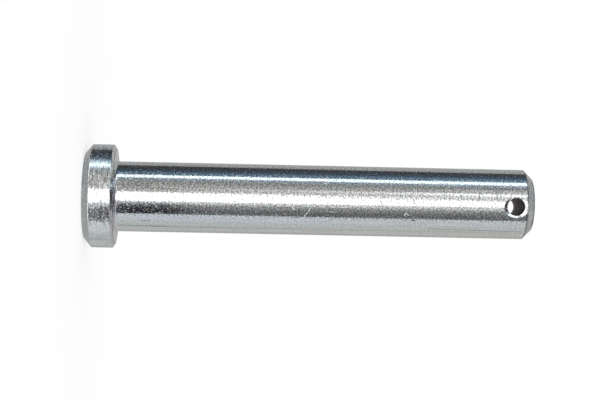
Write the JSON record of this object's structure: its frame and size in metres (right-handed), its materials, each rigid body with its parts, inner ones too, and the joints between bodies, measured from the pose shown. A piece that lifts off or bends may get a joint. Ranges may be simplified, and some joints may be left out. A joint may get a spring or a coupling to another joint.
{
  "type": "support pin",
  "caption": "Headed steel support pin with a chamfered round head, plain shank, chamfered tip and a countersunk cross hole for a split pin.",
  "frame": {"origin": "centre of the head's outer face, where the pin stands", "axes": "+Z along the pin from the head to the tip; the cross hole runs along Y and is drilled slightly towards +X"},
  "size_m": [0.0296, 0.0294, 0.128],
  "materials": {
    "zinc_plated_steel": "bright zinc plate over fine turning marks, lightly scratched"
  },
  "bodies": {
    "root": {"pin": "zinc_plated_steel"}
  },
  "joints": []
}
